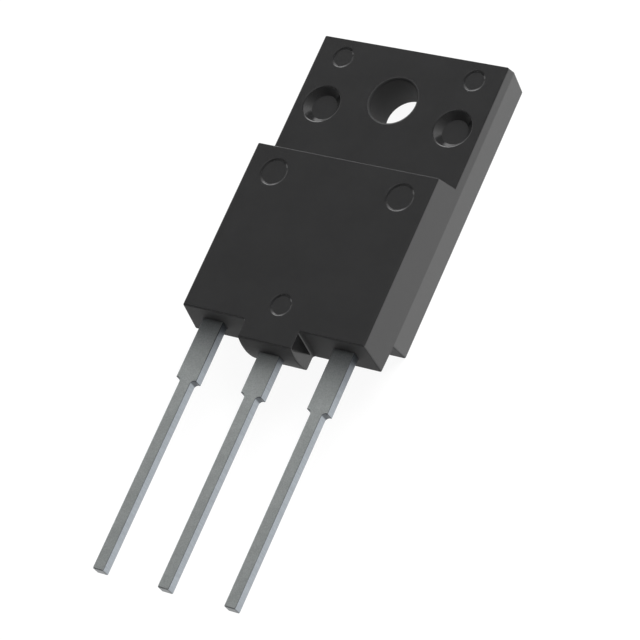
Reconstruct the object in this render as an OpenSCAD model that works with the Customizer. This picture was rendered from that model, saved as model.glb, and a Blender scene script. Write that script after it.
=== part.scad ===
// Three-lead power transistor in a fully insulated moulded package with a mounting tab.
// X runs across the package, +Y towards the tab's end, and +Z out of the front face.
// The origin is the mounting hole's axis where it meets the flat back. Millimetres.

/* [Moulded body] */
// Width of the body, across the parting line
body_w = 15.6; // [14.8:0.1:16]
// Thickness of the body over the chip
body_t = 5.55; // [5.3:0.05:6.2]
// Thickness of the tab round the mounting hole
tab_t = 3.3; // [3:0.1:3.8]
// Height of the parting line above the back
parting_z = 2.45; // [2.35:0.05:2.8]
// Hole axis to the end of the tab, at the parting line
hole_to_top = 4.38; // [4.2:0.02:5]
// Hole axis to the foot of the step, on the tab's face
hole_to_step = 5.78; // [5.4:0.02:6.4]
// Hole axis to the lower end of the body, at the parting line
hole_to_bottom = 20.08; // [19.8:0.02:21]
// How far the back half stops short of the lower end
rebate = 2.02; // [1.4:0.02:2.2]

/* [Drafts and fillets] */
// Draft of the long sides, from the parting line to the front
side_front_draft = 4.8; // [1:0.1:6]
// Draft of the long sides, from the parting line to the back
side_back_draft = 3.6; // [1:0.1:6]
// Draft of the tab's end, from the parting line to the tab's face
top_front_draft = 11; // [5:0.5:15]
// Draft of the tab's end, from the parting line to the back
top_back_draft = 5; // [1:0.5:8]
// Draft of the lower end, from the parting line to the front
bottom_draft = 6.9; // [1:0.1:8]
// Draft of the back half's lower end
rebate_draft = 7; // [1:0.5:10]
// Lean of the step's face
step_lean = 13; // [5:0.5:20]
// Fillet at the foot of the step and beside the boss
inner_r = 0.2; // [0.1:0.05:0.3]

/* [Centre boss] */
// Width of the boss round the centre lead
boss_w = 4.46; // [4:0.02:4.6]
// How far the boss stands out below the body, at the parting line
boss_reach = 1.12; // [0.8:0.02:1.4]
// Lean of the boss's end, from the parting line to the front
boss_draft = 2; // [0:0.5:4]
// How far the middle of the boss's rounded end stands out beyond its edges
boss_bulge = 0.24; // [0.1:0.01:0.4]

/* [Mounting hole and clamp pits] */
// Diameter of the mounting hole
hole_d = 3.6; // [3.2:0.1:3.8]
// Sideways distance from the hole axis to each clamp pit
pit_x = 5.5; // [5:0.1:5.7]
// How far the clamp pits sit below the hole axis
pit_drop = 1.27; // [0.8:0.01:1.8]
// Diameter of a clamp pit at its rim
pit_d = 3; // [2.6:0.1:3.2]
// Diameter of a clamp pit's floor
pit_floor_d = 2; // [1.4:0.1:2.2]
// Depth of a clamp pit
pit_depth = 0.55; // [0.3:0.05:0.65]

/* [Ejector marks] */
// Sideways distance from the middle to each mark on the tab
tab_mark_x = 5.52; // [5:0.02:6]
// How far the marks on the tab sit above the hole axis
tab_mark_rise = 2.73; // [2.4:0.01:2.9]
// Diameter of a mark on the tab, at its rim
tab_mark_d = 1.72; // [1.2:0.02:1.9]
// Sideways distance from the middle to each upper mark on the body
body_mark_x = 5.25; // [4.5:0.05:5.8]
// Hole axis to the upper marks on the body
body_mark_drop = 8.3; // [7.8:0.1:9.5]
// Diameter of an upper mark on the body, at its rim
body_mark_d = 2.2; // [1.6:0.1:2.4]
// Hole axis to the middle mark near the lower end
end_mark_drop = 18.07; // [17:0.01:18.5]
// Diameter of the middle mark near the lower end, at its rim
end_mark_d = 1.72; // [1.2:0.02:2]
// Depth of every ejector mark
mark_depth = 0.1; // [0.04:0.01:0.14]
// How far a mark's sloped wall reaches in from its rim
mark_slope = 0.15; // [0.05:0.01:0.2]

/* [Leads] */
// Spacing of the leads, centre to centre
pitch = 5.45; // [5.3:0.05:5.6]
// Height of the leads' underside above the back
lead_z = 3.5; // [3.3:0.05:3.7]
// Thickness of the lead strip
lead_t = 0.8; // [0.6:0.05:0.9]
// Width of a lead's thin end
lead_w = 0.9; // [0.6:0.05:1]
// Width of a lead where it leaves the body
root_w = 1.7; // [1.5:0.05:2.1]
// Hole axis to the shoulder where a lead narrows
hole_to_shoulder = 24.59; // [23.5:0.01:26]
// Fillet in the shoulder's corner
shoulder_r = 0.3; // [0.1:0.05:0.35]
// Hole axis to the lead tips
hole_to_tip = 39.5; // [30:0.1:41]

/* [Lead frame inside the moulding] */
// Width of the thick plate that carries the chip
plate_w = 12.2; // [11.6:0.1:12.6]
// Thickness of that plate
plate_t = 1.5; // [1.2:0.1:1.6]
// Moulding between the plate and the package's back
back_wall = 0.75; // [0.5:0.05:0.85]
// Hole axis to the ends of the plate's two prongs
prong_reach = 3.1; // [2.6:0.1:3.3]
// Moulding between the mounting hole and the plate
hole_wall = 1.1; // [0.8:0.1:1.4]
// Plate left bare between the chip and the plate's lower edge
bare_plate = 1.4; // [1:0.1:1.9]
// Slope of the bend that lifts the centre lead off the plate
bend_slope = 52; // [45:1:60]
// Width of the bond posts on the side leads
post_w = 3.4; // [2.6:0.1:3.8]
// Length of a bond post
post_l = 2.2; // [1.8:0.1:2.6]
// Moulding between a bond post and the body's lower end
post_cover = 1; // [0.8:0.1:1.4]
// How far a bond post stands out beside its lead, towards the package's side
post_lug = 0.3; // [0.1:0.05:0.5]

/* [Chip and bond wires] */
// Width of the silicon chip
chip_w = 6.4; // [5.6:0.1:7]
// Length of the silicon chip
chip_l = 6.8; // [5:0.1:7]
// Thickness of the silicon chip
chip_t = 0.35; // [0.2:0.05:0.4]
// Hole axis to the middle of the chip
chip_drop = 11.4; // [10.8:0.1:12]
// Thickness of the solder under the chip
solder_t = 0.08; // [0.05:0.01:0.12]
// How far the solder shows round the chip
solder_margin = 0.15; // [0.05:0.05:0.3]
// Diameter of the power wires
power_wire_d = 0.4; // [0.3:0.02:0.5]
// Spacing of the power wires on the chip
power_wire_step = 1.5; // [1.2:0.1:1.8]
// Spacing of the power wires on the bond post
post_foot_step = 1.2; // [1:0.1:1.4]
// Diameter of the control wire
control_wire_d = 0.2; // [0.12:0.02:0.3]
// How far a wire's loop rises over the straight line between its ends
wire_rise = 1; // [0.8:0.05:1.1]

/* [Hidden] */

// Facets round a full circle: the bore, the small round shapes, the boss's wide arc, the
// wires, and the loops that the wires follow
bore_fn = 96;
small_fn = 48;
boss_fn = 384;
wire_fn = 24;
loop_fn = 72;
// Length by which a cutting shape runs past the face that it opens
past = 1;

// Hole axis to the plate's lower edge
plate_drop = chip_drop + chip_l / 2 + bare_plate;
// Levels above the back
plate_top = back_wall + plate_t;
chip_base = plate_top + solder_t;
chip_top = chip_base + chip_t;
lead_top = lead_z + lead_t;

// Half width of the case at a height above the back
function half_width(z) =
    body_w / 2 - abs(z - parting_z) * tan(z < parting_z ? side_back_draft : side_front_draft);

// Lower end of the case's front half at a height above the back
function lower_end(z) = -hole_to_bottom + (z - parting_z) * tan(bottom_draft);

// Round end of the boss: a cylinder across the package, through its two edges and the bulge
boss_edge = -hole_to_bottom - boss_reach;
boss_half_t = (body_t - parting_z) / 2;
boss_half_chord = boss_half_t / cos(boss_draft);
boss_r = (boss_half_chord * boss_half_chord + boss_bulge * boss_bulge) / (2 * boss_bulge);
boss_axis_y = boss_edge + boss_half_t * tan(boss_draft) + (boss_r - boss_bulge) * cos(boss_draft);
boss_axis_z = parting_z + boss_half_t - (boss_r - boss_bulge) * sin(boss_draft);

// Middle of the right-hand bond post, worked out from its outer and lower edges
post_outer_x = pitch + root_w / 2 + post_lug;
post_x = post_outer_x - post_w / 2;
post_low_y = -hole_to_bottom + post_cover;
post_y = post_low_y + post_l / 2;

// Where the wires land on the chip, in from its lower corners
pad_inset = 1;
pad_y = -chip_drop - chip_l / 2 + pad_inset;
control_pad_x = -chip_w / 2 + pad_inset;
power_pad_x = chip_w / 2 - pad_inset;
// A wire's flattened foot: its height, width and length in wire diameters
foot_height = 0.6;
foot_width = 1.4;
foot_length = 3;
// How far a loop runs on past its ends before it is trimmed, and the block that trims it,
// both in wire diameters
loop_past = 1.5;
trim_block = 4;

// Draws an outline given in (Y, Z) and carries it across the package
module across(width) {
    rotate([90, 0, 90]) linear_extrude(height = width, center = true) children();
}

// Draws an outline given in (X, Z) and carries it along the package
module along(length) {
    rotate([90, 0, 0]) linear_extrude(height = length, center = true) children();
}

// Puts a child on both sides of the package
module both_sides(x) {
    for (side = [-1, 1]) translate([side * x, 0, 0]) children();
}

// Case

// The case seen from its side, without the boss
module side_outline() {
    step_foot = -hole_to_step;
    step_head = step_foot - (body_t - tab_t) * tan(step_lean);
    rebate_end = -hole_to_bottom + rebate;
    polygon([
        [rebate_end + parting_z * tan(rebate_draft), 0],
        [hole_to_top - parting_z * tan(top_back_draft), 0],
        [hole_to_top, parting_z],
        [hole_to_top - (tab_t - parting_z) * tan(top_front_draft), tab_t],
        [step_foot, tab_t],
        [step_head, body_t],
        [lower_end(body_t), body_t],
        [lower_end(parting_z), parting_z],
        [rebate_end, parting_z]
    ]);
}

// The case seen from its end, widest at the parting line
module end_outline() {
    polygon([
        [-half_width(0), 0],
        [half_width(0), 0],
        [half_width(parting_z), parting_z],
        [half_width(body_t), body_t],
        [-half_width(body_t), body_t],
        [-half_width(parting_z), parting_z]
    ]);
}

// Fillet between the tab's face and the leaning step
module step_fillet() {
    // The two faces meet at this angle, and the fillet's arc touches both at this distance
    corner = 90 + step_lean;
    reach = inner_r / tan(corner / 2);
    difference() {
        polygon([
            [-hole_to_step, tab_t],
            [-hole_to_step + reach, tab_t],
            [-hole_to_step + reach, tab_t - inner_r],
            [-hole_to_step - inner_r, tab_t - inner_r],
            [-hole_to_step - reach * sin(step_lean), tab_t + reach * cos(step_lean)]
        ]);
        translate([-hole_to_step + reach, tab_t + inner_r]) circle(r = inner_r, $fn = small_fn);
    }
}

// Boss round the centre lead, with its rounded end and the fillets beside it
module boss() {
    intersection() {
        translate([-boss_w / 2, boss_edge - past, parting_z])
            cube([boss_w, boss_reach + rebate + past, body_t - parting_z]);
        translate([0, boss_axis_y, boss_axis_z])
            rotate([0, 90, 0]) cylinder(h = boss_w + past, r = boss_r, center = true, $fn = boss_fn);
    }
    intersection() {
        translate([-body_w / 2, boss_edge - past, parting_z])
            cube([body_w, boss_reach + rebate + past, body_t - parting_z]);
        for (side = [-1, 1]) boss_fillet(side);
    }
}

// Fillet in the corner between the boss and the body's lower end, leaning with that end
module boss_fillet(side) {
    translate([side * boss_w / 2, -hole_to_bottom, parting_z])
        rotate([-bottom_draft, 0, 0])
            translate([0, 0, -past])
                linear_extrude(height = body_t + 2 * past)
                    difference() {
                        translate([side * inner_r / 2, 0]) square([inner_r, 2 * inner_r], center = true);
                        translate([side * inner_r, -inner_r]) circle(r = inner_r, $fn = small_fn);
                    }
}

// Dished pit left by a clamp pin, in the tab's face
module clamp_pit() {
    slope = (pit_d - pit_floor_d) / pit_depth;
    translate([0, 0, tab_t - pit_depth])
        cylinder(h = pit_depth + past, d1 = pit_floor_d, d2 = pit_d + past * slope, $fn = small_fn);
}

// Shallow dish left by an ejector pin in the face at height z
module ejector_mark(diameter, z) {
    spread = 2 * mark_slope / mark_depth;
    translate([0, 0, z - mark_depth])
        cylinder(h = mark_depth + past, d1 = diameter - 2 * mark_slope, d2 = diameter + past * spread,
                 $fn = small_fn);
}

// The moulding before anything is cut out of it
module case_shell() {
    length = hole_to_top + hole_to_bottom;
    intersection() {
        across(body_w + past) side_outline();
        translate([0, (hole_to_top - hole_to_bottom) / 2, 0]) along(length + past) end_outline();
    }
    intersection() {
        across(body_w + past) step_fillet();
        translate([0, -hole_to_step, 0]) along(past) end_outline();
    }
    boss();
}

// The one-piece epoxy moulding, formed round everything that it holds
module moulded_case() {
    color([0.16, 0.16, 0.17])
        difference() {
            case_shell();
            translate([0, 0, -past]) cylinder(h = tab_t + 2 * past, d = hole_d, $fn = bore_fn);
            translate([0, -pit_drop, 0]) both_sides(pit_x) clamp_pit();
            translate([0, tab_mark_rise, 0]) both_sides(tab_mark_x) ejector_mark(tab_mark_d, tab_t);
            translate([0, -body_mark_drop, 0]) both_sides(body_mark_x) ejector_mark(body_mark_d, body_t);
            translate([0, -end_mark_drop, 0]) ejector_mark(end_mark_d, body_t);
            centre_lead_frame();
            left_lead();
            right_lead();
            chip_solder();
            silicon_chip();
            control_wire();
            power_wire(0);
            power_wire(1);
        }
}

// Leads and lead frame

// A lead's flat outline from inside the body to its tip, with filleted shoulders
module lead_outline(inner_y) {
    translate([-root_w / 2, -hole_to_shoulder]) square([root_w, hole_to_shoulder + inner_y]);
    translate([-lead_w / 2, -hole_to_tip]) square([lead_w, hole_to_tip - hole_to_shoulder + past]);
    for (side = [-1, 1])
        translate([side * (lead_w / 2 + shoulder_r / 2), -hole_to_shoulder - shoulder_r / 2])
            difference() {
                square(shoulder_r, center = true);
                translate([side * shoulder_r / 2, -shoulder_r / 2]) circle(r = shoulder_r, $fn = small_fn);
            }
}

// A side lead with the bond post that its wires land on
module side_lead(side) {
    color("silver")
        translate([0, 0, lead_z])
            linear_extrude(height = lead_t) {
                translate([side * pitch, 0]) lead_outline(post_y);
                translate([side * post_x, post_y]) square([post_w, post_l], center = true);
            }
}

module left_lead() {
    side_lead(-1);
}

module right_lead() {
    side_lead(1);
}

// The thick plate's outline: a slab whose two prongs pass either side of the mounting hole
module plate_outline() {
    notch_r = hole_d / 2 + hole_wall;
    difference() {
        translate([-plate_w / 2, -plate_drop]) square([plate_w, plate_drop + prong_reach]);
        circle(r = notch_r, $fn = bore_fn);
        translate([-notch_r, 0]) square([2 * notch_r, prong_reach + past]);
    }
}

// The strip that climbs from the plate's lower edge to the level of the leads, seen from its side
module bend_outline() {
    drop = lead_t / cos(bend_slope);
    top_run = (lead_top - plate_top) / tan(bend_slope);
    low_run = (lead_z - plate_top + drop) / tan(bend_slope);
    polygon([
        [-plate_drop, plate_top],
        [-plate_drop, plate_top - drop],
        [-plate_drop - low_run, lead_z],
        [-plate_drop - low_run - past, lead_z],
        [-plate_drop - low_run - past, lead_top],
        [-plate_drop - top_run, lead_top]
    ]);
}

// The chip's plate, the bend and the centre lead, one piece of copper
module centre_lead_frame() {
    low_run = (lead_z - plate_top + lead_t / cos(bend_slope)) / tan(bend_slope);
    color("silver") {
        translate([0, 0, back_wall]) linear_extrude(height = plate_t) plate_outline();
        across(root_w) bend_outline();
        translate([0, 0, lead_z])
            linear_extrude(height = lead_t) lead_outline(-plate_drop - low_run);
    }
}

// Chip, solder and wires

module chip_solder() {
    margin = 2 * solder_margin;
    color("gray")
        translate([-(chip_w + margin) / 2, -chip_drop - (chip_l + margin) / 2, plate_top])
            cube([chip_w + margin, chip_l + margin, solder_t]);
}

module silicon_chip() {
    color("slategray")
        translate([-chip_w / 2, -chip_drop - chip_l / 2, chip_base])
            cube([chip_w, chip_l, chip_t]);
}

// Flattened end of a wire, pressed onto the face at its level and lying along X
module wire_foot(diameter) {
    length = foot_length * diameter;
    width = foot_width * diameter;
    intersection() {
        translate([0, 0, diameter * foot_height - width / 2])
            rotate([0, 90, 0]) cylinder(h = length, d = width, center = true, $fn = wire_fn);
        translate([-length, -width, 0]) cube([2 * length, 2 * width, diameter]);
    }
}

// A wire that loops from the chip to a bond post, from one flattened foot to the other
module bond_wire(pad, post, diameter) {
    run = norm([post.x - pad.x, post.y - pad.y]);
    climb = lead_top - chip_top;
    chord = norm([run, climb]);
    lean = atan2(climb, run);
    loop_r = (chord * chord / 4 + wire_rise * wire_rise) / (2 * wire_rise);
    half_angle = asin(chord / 2 / loop_r);
    // The loop's centre lies below the middle of the chord
    depth = loop_r - wire_rise;
    // The loop runs on past both faces and is trimmed flush with them
    extra = loop_past * diameter / loop_r * 180 / PI;
    trim = trim_block * diameter;
    translate([pad.x, pad.y, chip_top])
        rotate([0, 0, atan2(post.y - pad.y, post.x - pad.x)]) {
            difference() {
                translate([run / 2 + depth * sin(lean), 0, climb / 2 - depth * cos(lean)])
                    rotate([90, 0, 0])
                        rotate([0, 0, 90 + lean - half_angle - extra])
                            rotate_extrude(angle = 2 * (half_angle + extra), $fn = loop_fn)
                                translate([loop_r, 0]) circle(d = diameter, $fn = wire_fn);
                translate([-trim, -trim, -trim]) cube([2 * trim, 2 * trim, trim]);
                translate([run - trim, -trim, climb - trim]) cube([2 * trim, 2 * trim, trim]);
            }
            wire_foot(diameter);
            translate([run, 0, climb]) wire_foot(diameter);
        }
}

module control_wire() {
    color("gainsboro") bond_wire([control_pad_x, pad_y], [-post_x, post_y], control_wire_d);
}

// The power wires lie side by side, the inner one first
module power_wire(i) {
    color("gainsboro")
        bond_wire([power_pad_x - (1 - i) * power_wire_step, pad_y],
                  [post_x + (i - 0.5) * post_foot_step, post_y], power_wire_d);
}

moulded_case();
centre_lead_frame();
left_lead();
right_lead();
chip_solder();
silicon_chip();
control_wire();
power_wire(0);  // power_wire_1
power_wire(1);  // power_wire_2
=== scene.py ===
# A power transistor in a fully insulated package, lying on its back on a pale studio floor.
# Everything is in metres in the CAD frame: X runs across the package, +Y towards the tab's
# end, +Z out of the front, and the origin is the mounting hole's axis at the flat back.
import math

import bmesh
import bpy
import numpy as np
from mathutils import Matrix, Vector


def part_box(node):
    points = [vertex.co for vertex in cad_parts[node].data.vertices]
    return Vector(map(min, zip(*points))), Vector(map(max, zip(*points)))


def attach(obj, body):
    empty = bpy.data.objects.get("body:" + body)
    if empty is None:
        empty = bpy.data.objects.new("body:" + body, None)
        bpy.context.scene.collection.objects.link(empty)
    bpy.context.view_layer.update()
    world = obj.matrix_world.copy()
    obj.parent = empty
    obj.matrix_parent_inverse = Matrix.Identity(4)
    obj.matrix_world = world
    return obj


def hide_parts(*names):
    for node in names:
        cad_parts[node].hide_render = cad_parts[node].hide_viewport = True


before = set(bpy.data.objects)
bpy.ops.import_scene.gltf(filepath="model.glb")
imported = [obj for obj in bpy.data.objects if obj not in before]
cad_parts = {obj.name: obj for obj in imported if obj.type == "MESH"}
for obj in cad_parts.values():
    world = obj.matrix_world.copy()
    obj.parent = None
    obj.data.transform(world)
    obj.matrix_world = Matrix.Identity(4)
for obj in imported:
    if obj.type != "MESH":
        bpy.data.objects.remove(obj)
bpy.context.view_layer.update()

MM = 0.001

# Places on the package, in millimetres, as in the CAD model
tab_face_z = 3.3
body_face_z = 5.55
lower_end_y = -20.08
pit_at = (5.5, -1.27)
tab_mark_at = (5.52, 2.73)
body_mark_at = (5.25, -8.3)
end_mark_at = (0.0, -18.07)
mark_depth = 0.1
pitch = 5.45
lead_low_z = 3.5
lead_high_z = 4.3
tip_y = -39.5

# How far from its own centre a feature's edges are looked for, in millimetres
hole_reach = 2.2
pit_reach = 1.6
tab_mark_reach = 1.1
body_mark_reach = 1.2
end_mark_reach = 1.1
opening_reach = 0.95
opening_depth = 0.5
level_slack = 0.05

# The step's head lies above this y, and within this depth of the body's front, in millimetres
head_y = -6.6
head_depth = 0.1

# The cavities' edges lie within these bounds, in millimetres. In the tab, above tab_low_y,
# they also lie below tab_cavity_z, under the pits and marks.
cavity_x = 6.7
cavity_z = (0.7, 4.95)
cavity_y = (lower_end_y + 0.3, 3.2)
tab_low_y = -6.0
tab_cavity_z = 2.3

# Roundings, in millimetres
face_round = 0.12
head_round = 0.18
hole_round = 0.18
pit_round = 0.07
mark_round = 0.035
opening_round = 0.05
lead_round = 0.06
tip_round = 0.1

# Mesh settings: a gap in metres, angles in radians, and a face's area in square millimetres
weld_gap = 1e-7
flat_angle = math.radians(0.5)
crease_angle = math.radians(25)
rounding_steps = 4
large_face = 1.5


def make_piece(name, mesh):
    """Puts a mesh into the scene as an object at the origin."""
    piece = bpy.data.objects.new(name, mesh)
    bpy.context.scene.collection.objects.link(piece)
    return piece


def merged_copy(node, name):
    """A copy of a CAD node as one closed skin: doubles merged, and flat triangles joined."""
    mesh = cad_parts[node].data.copy()
    mesh.name = name
    skin = bmesh.new()
    skin.from_mesh(mesh)
    bmesh.ops.remove_doubles(skin, verts=skin.verts, dist=weld_gap)
    bmesh.ops.dissolve_limit(skin, angle_limit=flat_angle, use_dissolve_boundaries=False,
                             verts=skin.verts, edges=skin.edges)
    skin.to_mesh(mesh)
    skin.free()
    mesh.materials.clear()
    return make_piece(name, mesh)


def read(data, field, width=1, kind=np.float64):
    """One field of a mesh layer as an array, with a row for each element."""
    values = np.empty(len(data) * width, kind)
    data.foreach_get(field, values)
    return values.reshape(-1, width) if width > 1 else values


def edge_facts(mesh):
    """Middle, bend and convexity of every edge, from the two faces that share it.

    The bend is the angle between the two normals. The first face's normal crossed with its
    own run along the edge points into that face, and the edge is convex where the second
    normal points the other way.
    """
    points = read(mesh.vertices, "co", 3)
    corner_vertex = read(mesh.loops, "vertex_index", 1, np.int32)
    corner_edge = read(mesh.loops, "edge_index", 1, np.int32)
    starts = read(mesh.polygons, "loop_start", 1, np.int32)
    counts = read(mesh.polygons, "loop_total", 1, np.int32)
    normals = read(mesh.polygons, "normal", 3)
    face_of = np.repeat(np.arange(len(starts)), counts)
    following = np.arange(len(corner_vertex)) + 1
    following[starts + counts - 1] = starts
    order = np.argsort(corner_edge, kind="stable")
    first, second = order[0::2], order[1::2]
    near, far = normals[face_of[first]], normals[face_of[second]]
    start = points[corner_vertex[first]]
    end = points[corner_vertex[following[first]]]
    bend = np.arccos(np.clip((near * far).sum(1), -1, 1))
    inward = np.cross(near, end - start)
    return (start + end) / 2 / MM, bend, (far * inward).sum(1) < 0


def round_edges(piece, radius_of):
    """Rounds a piece's convex creases with a Bevel, by the radius in mm that radius_of gives.

    Creases bend by more than crease_angle. Each edge's weight is its radius over the widest
    one, and every other edge is left as it is.
    """
    middle, bend, convex = edge_facts(piece.data)
    crease = bend > crease_angle
    radius = np.where(crease & convex, radius_of(middle), 0.0)
    widest = radius.max()
    weights = piece.data.attributes.new("bevel_weight_edge", "FLOAT", "EDGE")
    weights.data.foreach_set("value", (radius / widest).astype(np.float32))
    bevel = piece.modifiers.new("rounding", "BEVEL")
    bevel.limit_method = "WEIGHT"
    bevel.offset_type = "OFFSET"
    bevel.width = widest * MM
    bevel.segments = rounding_steps
    bevel.use_clamp_overlap = False
    plain = piece.data
    settled = piece.evaluated_get(bpy.context.evaluated_depsgraph_get())
    piece.data = bpy.data.meshes.new_from_object(settled)
    piece.data.name = plain.name + "_mesh"
    piece.modifiers.clear()
    bpy.data.meshes.remove(plain)
    shade(piece.data)


def shade(mesh):
    """Shades curved faces smooth and flat ones flat, with a normal of its own at each corner.

    A corner's normal is the mean of the faces round its point that bend from its own face by
    less than crease_angle, each weighted by its squared area. Two large faces aren't averaged,
    so a parting line stays a line.
    """
    corner_vertex = read(mesh.loops, "vertex_index", 1, np.int32)
    counts = read(mesh.polygons, "loop_total", 1, np.int32)
    area = read(mesh.polygons, "area") / MM ** 2
    face_normal = read(mesh.polygons, "normal", 3)
    order = np.argsort(corner_vertex, kind="stable")
    face = np.repeat(np.arange(len(counts)), counts)[order]
    group = corner_vertex[order]
    first = np.searchsorted(group, group)
    size = np.searchsorted(group, group, side="right") - first
    rank = np.arange(len(group)) - first
    own = face_normal[face]
    total = own * area[face][:, None] ** 2
    for step in range(1, size.max()):
        other = face[first + (rank + step) % size]
        near = (own * face_normal[other]).sum(1) > math.cos(crease_angle)
        used = near & (size > step) & (np.minimum(area[face], area[other]) < large_face)
        total += face_normal[other] * (used * area[other] ** 2)[:, None]
    normals = np.empty_like(total)
    normals[order] = total / np.linalg.norm(total, axis=1)[:, None]
    mesh.shade_smooth()
    mesh.normals_split_custom_set(normals.tolist())


def near_ring(middle, at, reach, level):
    """Edges within reach of a pair of round features at (+-x, y), about a level."""
    across = np.abs(middle[:, 0]) - at[0]
    along = middle[:, 1] - at[1]
    return (np.hypot(across, along) < reach) & (np.abs(middle[:, 2] - level) < mark_depth / 2)


def between(values, bounds):
    """Where values lie between a lower and an upper bound."""
    return (values > bounds[0]) & (values < bounds[1])


def case_radius(middle):
    """The moulding's rounding at each edge: step's head, hole, pits, marks, lead openings.

    Every other edge outside gets the faces' rounding, and the cavities' edges stay sharp.
    """
    x, y, z = np.abs(middle[:, 0]), middle[:, 1], middle[:, 2]
    off_axis = np.hypot(x, y)
    radius = np.full(len(middle), face_round)
    radius[(y > head_y) & (z > body_face_z - head_depth)] = head_round
    radius[off_axis < hole_reach] = hole_round
    radius[near_ring(middle, pit_at, pit_reach, tab_face_z)] = pit_round
    radius[near_ring(middle, tab_mark_at, tab_mark_reach, tab_face_z)] = mark_round
    radius[near_ring(middle, body_mark_at, body_mark_reach, body_face_z)] = mark_round
    radius[near_ring(middle, end_mark_at, end_mark_reach, body_face_z)] = mark_round
    at_lead = between(z, (lead_low_z - level_slack, lead_high_z + level_slack))
    at_lead &= (y < lower_end_y + opening_depth)
    at_lead &= (x < opening_reach) | (np.abs(x - pitch) < opening_reach)
    radius[at_lead] = opening_round
    inside = (x < cavity_x) & between(z, cavity_z) & between(y, cavity_y)
    inside &= (off_axis > hole_reach) & ((z < tab_cavity_z) | (y < tab_low_y))
    radius[inside] = 0.0
    return radius


def lead_radius(middle):
    """A lead's rounding at each edge, a little larger round its cut tip."""
    return np.where(middle[:, 1] < tip_y + 0.01, tip_round, lead_round)


# Shader maths


class Signal:
    """A shader socket: sums with it add Math nodes, and node() adds any other kind of node."""

    def __init__(self, tree, socket=None):
        self.tree, self.socket = tree, socket

    def node(self, kind, settings=None, inputs=None, output=0):
        """Adds a node: its settings first, then a value or a link for each socket named."""
        made = self.tree.nodes.new("ShaderNode" + kind)
        for name, value in (settings or {}).items():
            setattr(made, name, value)
        for name, value in (inputs or {}).items():
            if isinstance(value, Signal):
                self.tree.links.new(value.socket, made.inputs[name])
            else:
                made.inputs[name].default_value = value
        return Signal(self.tree, made.outputs[output])

    def maths(self, operation, *values):
        """A Math node on numbers or sockets."""
        return self.node("Math", {"operation": operation}, dict(enumerate(values)))

    def __add__(self, other):
        return self.maths("ADD", self, other)

    __radd__ = __add__

    def __sub__(self, other):
        return self.maths("SUBTRACT", self, other)

    def __rsub__(self, other):
        return self.maths("SUBTRACT", other, self)

    def __mul__(self, other):
        return self.maths("MULTIPLY", self, other)

    __rmul__ = __mul__

    def __truediv__(self, other):
        return self.maths("DIVIDE", self, other)

    def smooth(self, low, high):
        """0 below low, 1 above high, and a smooth rise between them."""
        return self.node("MapRange", {"interpolation_type": "SMOOTHSTEP"},
                         {"Value": self, "From Min": low, "From Max": high})

    def mix(self, first, second):
        """The first colour where this is 0 and the second where it is 1."""
        return self.node("Mix", {"data_type": "RGBA"}, {0: self, 6: first, 7: second}, output=2)


def new_material(name):
    """An empty material, and a Signal to build its nodes with."""
    material = bpy.data.materials.new(name)
    material.use_nodes = True
    material.node_tree.nodes.clear()
    return material, Signal(material.node_tree)


def surface(start, shader):
    """Ends a material with its output node."""
    made = start.tree.nodes.new("ShaderNodeOutputMaterial")
    start.tree.links.new(shader.socket, made.inputs["Surface"])


def grain(start, place, per_mm, detail=2.0, roughness=0.5):
    """Noise from 0 to 1 with so many patches to the millimetre."""
    return start.node("TexNoise", {"noise_dimensions": "3D"},
                      {"Vector": place, "Scale": per_mm / MM, "Detail": detail,
                       "Roughness": roughness})


def rgb(red, green, blue):
    """A colour socket's value."""
    return (red, green, blue, 1.0)


def axis_of(start, vector, axis):
    """One of a vector's three parts: 0 for x, 1 for y, 2 for z."""
    return start.node("SeparateXYZ", {}, {"Vector": vector}, output=axis)


# Colours of each finish, from its darker patches to its lighter ones
epoxy = rgb(0.0125, 0.0125, 0.0128), rgb(0.0165, 0.0165, 0.0168)
rolled_tin = rgb(0.50, 0.53, 0.525), rgb(0.62, 0.65, 0.645)
sheared_tin = rgb(0.36, 0.39, 0.42), rgb(0.415, 0.45, 0.485)
# Painted shade on the faces that face down the leads: the darker colour on the shoulders, the
# lighter one at the cut tips
end_shade_tin = rgb(0.12, 0.13, 0.14), rgb(0.20, 0.21, 0.215)
# Painted reflection: the dark line along the leads' rounded edges
edge_reflection_tin = rgb(0.10, 0.105, 0.11)
# Painted shade that darkens the leads towards their roots
root_shade = rgb(0.42, 0.42, 0.43)
bare_copper = rgb(0.70, 0.33, 0.20), rgb(0.80, 0.42, 0.27)
cast_solder = rgb(0.46, 0.47, 0.48), rgb(0.6, 0.61, 0.62)
sawn_silicon = rgb(0.16, 0.17, 0.19), rgb(0.24, 0.25, 0.27)
guard_silicon = rgb(0.03, 0.05, 0.12), rgb(0.05, 0.08, 0.17)
cell_metal = rgb(0.62, 0.63, 0.65), rgb(0.78, 0.79, 0.8)
drawn_wire = rgb(0.72, 0.73, 0.74), rgb(0.84, 0.85, 0.86)
floor_paper = rgb(0.85, 0.85, 0.85), rgb(0.87, 0.87, 0.87)

# The bore's matt wall gives way to gloss between these squares of its radius, in mm2
bore_matt = (3.4, 4.2)

# Places along the leads, in millimetres, where the painted shade at the roots starts and is
# full, and where bare copper starts and is full, past the moulding's lower end
root_shade_y = (lower_end_y - 4.3, lower_end_y + 0.3)
bare_y = (lower_end_y + 0.2, lower_end_y + 0.6)

# The chip's guard ring ends this far in from its edges, in millimetres
guard_ring = (0.24, 0.28)


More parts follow.
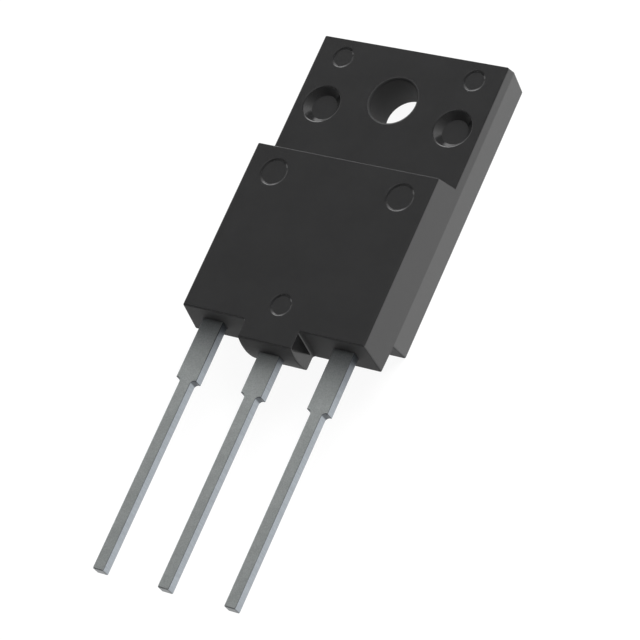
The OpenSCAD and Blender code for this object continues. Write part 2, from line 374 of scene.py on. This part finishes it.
def moulding_finish():
    """Black epoxy moulding compound: glossy, with fine filler grain and faint flow marks.

    The ends that face the leads' way, and the mounting hole's bore, are matt.
    """
    material, start = new_material("epoxy_moulding")
    place = start.node("TexCoord", output=3)
    filler = grain(start, place, 22, 3.0, 0.6)
    flow = grain(start, place, 0.35, 4.0, 0.55)
    cloud = grain(start, place, 1.8, 3.0, 0.5)
    tone = (filler * 0.5 + flow * 0.3 + cloud * 0.2).smooth(0.36, 0.64)
    facing_y = axis_of(start, start.node("NewGeometry", output=1), 1)
    ends = 1 - facing_y.smooth(-0.75, -0.4)
    x = axis_of(start, place, 0) / MM
    y = axis_of(start, place, 1) / MM
    bore = 1 - (x * x + y * y).smooth(*bore_matt)
    matt = ends.maths("MAXIMUM", ends, bore)
    roughness = 0.11 + 0.05 * flow + 0.05 * filler + 0.58 * matt
    bumps = start.node("Bump", {}, {"Strength": 0.35, "Distance": 0.0000012,
                                    "Height": filler * 0.7 + cloud * 0.3})
    skin = start.node("BsdfPrincipled", {}, {"Base Color": tone.mix(*epoxy), "IOR": 1.62,
                                             "Roughness": roughness, "Normal": bumps})
    surface(start, skin)
    return material


def plating_finish():
    """Matt tin over copper: fine crystals, and streaks down the sheared sides of the strip.

    A dark line along the rounded edges is a painted reflection. Painted shade darkens the faces
    that face down the leads, and the tin towards the leads' roots. Inside the moulding, past the
    roots, the copper is bare.
    """
    material, start = new_material("tinned_copper")
    place = start.node("TexCoord", output=3)
    along = axis_of(start, place, 1) / MM
    normal = start.node("NewGeometry", output=1)
    facing_y = axis_of(start, normal, 1)
    facing_z = axis_of(start, normal, 2)
    crystals = grain(start, place, 12, 3.0, 0.6)
    haze = grain(start, place, 1.3, 3.0, 0.5)
    face = facing_z.maths("ABSOLUTE", facing_z).smooth(0.3, 0.9)
    streaks = start.node("Mapping", {}, {"Vector": place, "Scale": (1.0, 1.0, 0.08)})
    shear = grain(start, streaks, 14, 2.0, 0.5)
    mottle = (crystals * 0.75 + haze * 0.25).smooth(0.36, 0.64)
    rolled = mottle.mix(*rolled_tin)
    cut = shear.smooth(0.3, 0.7).mix(*sheared_tin)
    # Painted reflection: a dark line over the roundings between the faces and the sides
    edge_reflection = face * (1 - face) * 4
    sheet = edge_reflection.mix(face.mix(cut, rolled), edge_reflection_tin)
    # Painted shade: faces that face down the leads turn darker, lighter at the cut tips than on
    # the shoulders
    at_tip = 1 - along.smooth(tip_y, tip_y + 1)
    end = at_tip.mix(*end_shade_tin)
    tin = facing_y.smooth(-0.6, -0.15).mix(end, sheet)
    # Painted shade: the tin darkens towards the leads' roots, where the body meets them
    root_shade_mask = (along + 0.6 * haze).smooth(*root_shade_y)
    root_shaded = tin.node("Mix", {"data_type": "RGBA", "blend_type": "MULTIPLY"},
                       {0: root_shade_mask, 6: tin, 7: root_shade}, output=2)
    colour = along.smooth(*bare_y).mix(root_shaded, mottle.mix(*bare_copper))
    roughness = 0.34 + 0.08 * crystals + 0.04 * haze
    bumps = start.node("Bump", {}, {"Strength": 0.5, "Distance": 0.000002,
                                    "Height": crystals * face + shear * (1 - face)})
    skin = start.node("BsdfPrincipled", {}, {"Base Color": colour, "Roughness": roughness,
                                             "Metallic": 1.0, "Normal": bumps})
    surface(start, skin)
    return material


def solder_finish():
    """Lead-free die solder: dull grey, with a soft cast grain."""
    material, start = new_material("die_solder")
    place = start.node("TexCoord", output=3)
    cast = grain(start, place, 4, 3.0, 0.6)
    colour = cast.smooth(0.3, 0.7).mix(*cast_solder)
    bumps = start.node("Bump", {}, {"Strength": 0.5, "Distance": 0.000004, "Height": cast})
    skin = start.node("BsdfPrincipled", {}, {"Base Color": colour, "Metallic": 1.0,
                                             "Roughness": 0.4 + 0.15 * cast, "Normal": bumps})
    surface(start, skin)
    return material


def silicon_finish():
    """The chip: grey sawn sides, a dark blue guard ring, and aluminium over its cells."""
    material, start = new_material("silicon_die")
    low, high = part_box("silicon_chip")
    place = start.node("TexCoord", output=3)
    x, y, z = [axis_of(start, place, axis) for axis in range(3)]
    edge_x = (x - low.x).maths("MINIMUM", x - low.x, high.x - x) / MM
    edge_y = (y - low.y).maths("MINIMUM", y - low.y, high.y - y) / MM
    margin = edge_x.maths("MINIMUM", edge_x, edge_y)
    top = (z / MM).smooth(high.z / MM - 0.02, high.z / MM - 0.01)
    ring = margin.smooth(*guard_ring)
    dust = grain(start, place, 12, 3.0, 0.6)
    cells = start.node("TexWave", {"wave_type": "BANDS", "bands_direction": "X"},
                       {"Vector": place, "Scale": 1.6 / MM, "Distortion": 0.0})
    metal = cells.smooth(0.2, 0.8).mix(*cell_metal)
    guarded = ring.mix(dust.mix(*guard_silicon), metal)
    colour = top.mix(dust.mix(*sawn_silicon), guarded)
    skin = start.node("BsdfPrincipled", {}, {"Base Color": colour, "Metallic": top * ring,
                                             "Roughness": 0.25 + 0.2 * dust})
    surface(start, skin)
    return material


def wire_finish():
    """Drawn aluminium bond wire: bright, with a fine uneven haze."""
    material, start = new_material("bond_wire")
    place = start.node("TexCoord", output=3)
    haze = grain(start, place, 16, 3.0, 0.6)
    colour = haze.smooth(0.3, 0.7).mix(*drawn_wire)
    bumps = start.node("Bump", {}, {"Strength": 0.4, "Distance": 0.0000015, "Height": haze})
    skin = start.node("BsdfPrincipled", {}, {"Base Color": colour, "Metallic": 1.0,
                                             "Roughness": 0.22 + 0.12 * haze, "Normal": bumps})
    surface(start, skin)
    return material


# The part


def add_case(finish):
    """The moulding: the CAD node's own shape with its edges rounded."""
    case = merged_copy("moulded_case", "moulded_case_rounded")
    round_edges(case, case_radius)
    case.data.materials.append(finish)
    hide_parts("moulded_case")
    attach(case, "root")


def add_lead(node, finish):
    """One lead, or the centre lead with its plate: the CAD node's shape, edges rounded."""
    lead = merged_copy(node, node + "_rounded")
    round_edges(lead, lead_radius)
    lead.data.materials.append(finish)
    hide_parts(node)
    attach(lead, "root")


def add_wire(node, finish):
    """One bond wire, with its loop shaded smooth between the creases of its feet."""
    wire = merged_copy(node, node + "_smooth")
    shade(wire.data)
    wire.data.materials.append(finish)
    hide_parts(node)
    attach(wire, "root")


def finish_node(node, finish):
    """Gives a CAD node, which stays as it is, its material."""
    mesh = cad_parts[node].data
    mesh.materials.clear()
    mesh.materials.append(finish)


# The studio

# Camera, as solved from the photograph: it looks at the aim point from an azimuth, measured
# from +Y towards +X, and an elevation, rolled about its own axis
aim_mm = (1.65, -17.4343, 2.75)
camera_azimuth = 121.4724
camera_elevation = 53.1573
camera_roll = -39.5997
camera_distance_mm = 221.713
camera_lens = 179.238
camera_sensor = 36.0

# Floor: a flat disc that curves up into a low round wall, in metres
floor_middle_r = 0.02
floor_r = 1.0
sweep_r = 0.12
wall_top = 0.22
floor_rings = 12
sweep_steps = 12
floor_sides = 96

# The background that camera, glossy and transmitted rays see: a white glow, and the lit share
# that keeps the part's shadow
white_glow = 0.93
lit_share = rgb(0.10, 0.10, 0.10)

# Lamp: where it hangs as seen from the body, in degrees and metres, its size and its power
lamp_aim = (0, -0.017, 0)
lamp_azimuth = 26
lamp_elevation = 42
lamp_distance = 0.55
lamp_size = 0.4
lamp_watts = 4.6

# Surround: the strength everywhere, and what each bright part adds to it
dim_level = 0.08
left_glow = 0.18
horizon_glow = 1.25
patch_glow = 3.8
ahead_glow = 0.2
overhead_glow = 0.5


def towards(azimuth, elevation):
    """The direction at an azimuth from +Y towards +X and an elevation, both in degrees."""
    a, e = math.radians(azimuth), math.radians(elevation)
    return Vector((math.sin(a) * math.cos(e), math.cos(a) * math.cos(e), math.sin(e)))


def add_camera():
    """A camera with square pixels and no shift, at the photograph's own view."""
    back = towards(camera_azimuth, camera_elevation)
    level_right = Vector((0, 0, 1)).cross(back).normalized()
    level_up = back.cross(level_right)
    roll = math.radians(camera_roll)
    right = level_right * math.cos(roll) + level_up * math.sin(roll)
    up = back.cross(right)
    place = Vector(aim_mm) * MM + back * camera_distance_mm * MM
    data = bpy.data.cameras.new("camera")
    data.sensor_fit = "HORIZONTAL"
    data.sensor_width = camera_sensor
    data.lens = camera_lens
    data.clip_start = 0.01
    data.clip_end = 10
    camera = bpy.data.objects.new("camera", data)
    turned = Matrix((right, up, back)).transposed().to_4x4()
    camera.matrix_world = Matrix.Translation(place) @ turned
    bpy.context.scene.collection.objects.link(camera)
    bpy.context.scene.camera = camera


def studio_floor():
    """A round cove: a profile turned about Z, flat to the sweep and then a quarter circle.

    A point is (r cos t, r sin t, h), with (r, h) along the profile and t round the circle.
    """
    flat = np.linspace(floor_middle_r, floor_r - sweep_r, floor_rings)
    turn = np.linspace(0, math.pi / 2, sweep_steps + 1)[1:]
    radius = np.concatenate([flat, floor_r - sweep_r + sweep_r * np.sin(turn), [floor_r]])
    height = np.concatenate([0 * flat, sweep_r * (1 - np.cos(turn)), [wall_top]])
    angle = np.linspace(0, 2 * math.pi, floor_sides, endpoint=False)
    rows, columns = len(radius), len(angle)
    ring = np.stack([np.outer(radius, np.cos(angle)), np.outer(radius, np.sin(angle)),
                     np.outer(height, np.ones(columns))], axis=2).reshape(-1, 3)
    points = np.vstack([ring, [[0, 0, 0]]])
    row, column = np.meshgrid(np.arange(rows - 1), np.arange(columns), indexing="ij")
    after = (column + 1) % columns
    quads = np.stack([row * columns + column, (row + 1) * columns + column,
                      (row + 1) * columns + after, row * columns + after], axis=2).reshape(-1, 4)
    spokes = np.arange(columns)
    middle = np.stack([np.full(columns, len(ring)), spokes, (spokes + 1) % columns], axis=1)
    mesh = bpy.data.meshes.new("studio_floor")
    mesh.from_pydata(points, [], quads.tolist() + middle.tolist())
    mesh.shade_smooth()
    floor = make_piece("studio_floor", mesh)
    floor.data.materials.append(floor_finish())


def floor_finish():
    """A pale floor that the camera sees as white, with the part's shadow left in it.

    Camera, glossy and transmitted rays all see the same background: a white share that is
    fixed, and a lit share that keeps the shadow. All other rays see the plain lit floor.
    """
    material, start = new_material("pale_floor")
    camera = start.node("LightPath", output="Is Camera Ray")
    glossy = start.node("LightPath", output="Is Glossy Ray")
    through = start.node("LightPath", output="Is Transmission Ray")
    place = start.node("TexCoord", output=3)
    paper = grain(start, place, 0.02, 2.0, 0.5)
    lit = start.node("BsdfDiffuse", {}, {"Color": paper.mix(*floor_paper)})
    faint = start.node("BsdfDiffuse", {}, {"Color": lit_share})
    glow = start.node("Emission", {}, {"Strength": white_glow})
    white = start.node("AddShader", {}, {0: faint, 1: glow})
    seen = camera + glossy + through
    surface(start, start.node("MixShader", {}, {0: seen, 1: lit, 2: white}))
    return material


def add_lamp():
    """A square soft lamp that looks at the body. Reflections show the surround alone."""
    data = bpy.data.lights.new("key", "AREA")
    data.shape = "SQUARE"
    data.size = lamp_size
    data.energy = lamp_watts
    lamp = bpy.data.objects.new("key", data)
    direction = towards(lamp_azimuth, lamp_elevation)
    lamp.location = Vector(lamp_aim) + direction * lamp_distance
    lamp.rotation_mode = "QUATERNION"
    lamp.rotation_quaternion = direction.to_track_quat("Z", "Y")
    lamp.visible_glossy = False
    bpy.context.scene.collection.objects.link(lamp)


def add_world():
    """A soft surround: dim, but bright near the horizon towards +X and +Y.

    A patch towards -X and +Y is the brightest. Weaker glows lie overhead, round that patch,
    and towards -X and -Y. Each is a product of smooth steps in the direction's x, y and z.
    """
    world = bpy.data.worlds.new("Studio surround")
    world.use_nodes = True
    world.node_tree.nodes.clear()
    bpy.context.scene.world = world
    start = Signal(world.node_tree)
    place = start.node("TexCoord", output=0)
    x, y, z = [axis_of(start, place, axis) for axis in range(3)]
    left = (1 - x.smooth(-0.5, 0.2)) * y.smooth(-0.3, 0.25)
    low = 1 - z.smooth(0.1, 0.65)
    side = (x * 0.7 + y * 0.7).smooth(-0.7, 0.7)
    behind = x.smooth(-0.8, -0.62) * (1 - x.smooth(-0.45, -0.15)) * y.smooth(0.4, 0.62)
    behind = behind * (1 - z.smooth(0.5, 0.78))
    ahead = (1 - x.smooth(-0.45, -0.1)) * (1 - y.smooth(-0.55, -0.2))
    overhead = z.smooth(0.87, 0.97)
    level = dim_level + left_glow * left + horizon_glow * low * side + patch_glow * behind
    level = level + ahead_glow * ahead + overhead_glow * overhead
    glow = start.node("Background", {}, {"Color": rgb(1, 1, 1), "Strength": level})
    made = start.tree.nodes.new("ShaderNodeOutputWorld")
    start.tree.links.new(glow.socket, made.inputs["Surface"])


add_camera()
studio_floor()
add_world()
add_lamp()

add_case(moulding_finish())
plating = plating_finish()
for node in ("centre_lead_frame", "left_lead", "right_lead"):
    add_lead(node, plating)
wire = wire_finish()
for node in ("control_wire", "power_wire_1", "power_wire_2"):
    add_wire(node, wire)
finish_node("chip_solder", solder_finish())
finish_node("silicon_chip", silicon_finish())

bpy.context.scene.view_settings.view_transform = "Standard"
